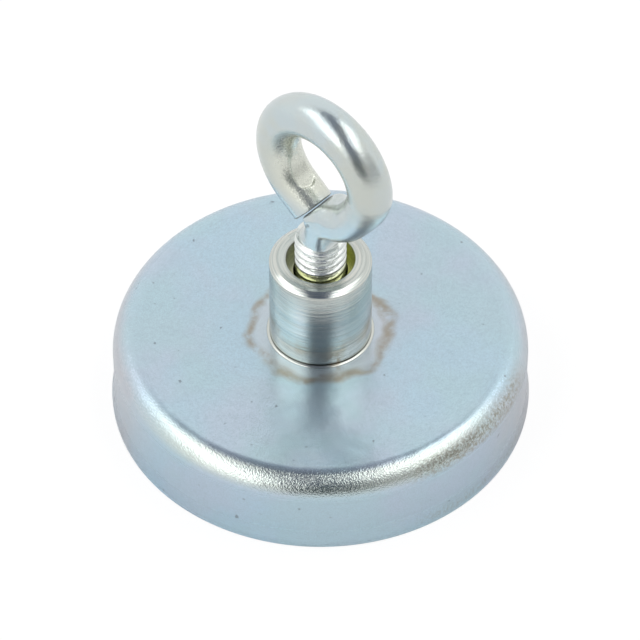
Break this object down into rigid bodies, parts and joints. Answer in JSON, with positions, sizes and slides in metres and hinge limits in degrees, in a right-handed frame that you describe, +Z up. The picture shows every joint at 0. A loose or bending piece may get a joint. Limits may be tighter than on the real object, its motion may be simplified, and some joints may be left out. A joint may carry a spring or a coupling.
{
  "type": "ferrite pot magnet with eye bolt",
  "caption": "Round ferrite pot magnet: a disc magnet bonded into a zinc-plated steel cup, with a threaded bush welded on top and a bent-wire eye bolt screwed into it.",
  "frame": {"origin": "middle of the holding face, at the centre of the cup's open rim", "axes": "+Z up along the cup's and the bush's axis, +X towards the side on which the wire leaves the thread, +Y through the eye"},
  "size_m": [0.032, 0.032, 0.0309],
  "materials": {
    "cup_zinc": "zinc plated, blue passivated",
    "ferrite": "ground, matt",
    "resin": "cured epoxy, satin",
    "bush_zinc": "turned, zinc plated",
    "eye_zinc": "drawn wire, zinc plated, satin"
  },
  "bodies": {
    "root": {"steel_cup": "cup_zinc", "ferrite_disc": "ferrite", "bonding_resin": "resin", "threaded_bush": "bush_zinc", "eye_bolt": "eye_zinc"}
  },
  "joints": []
}
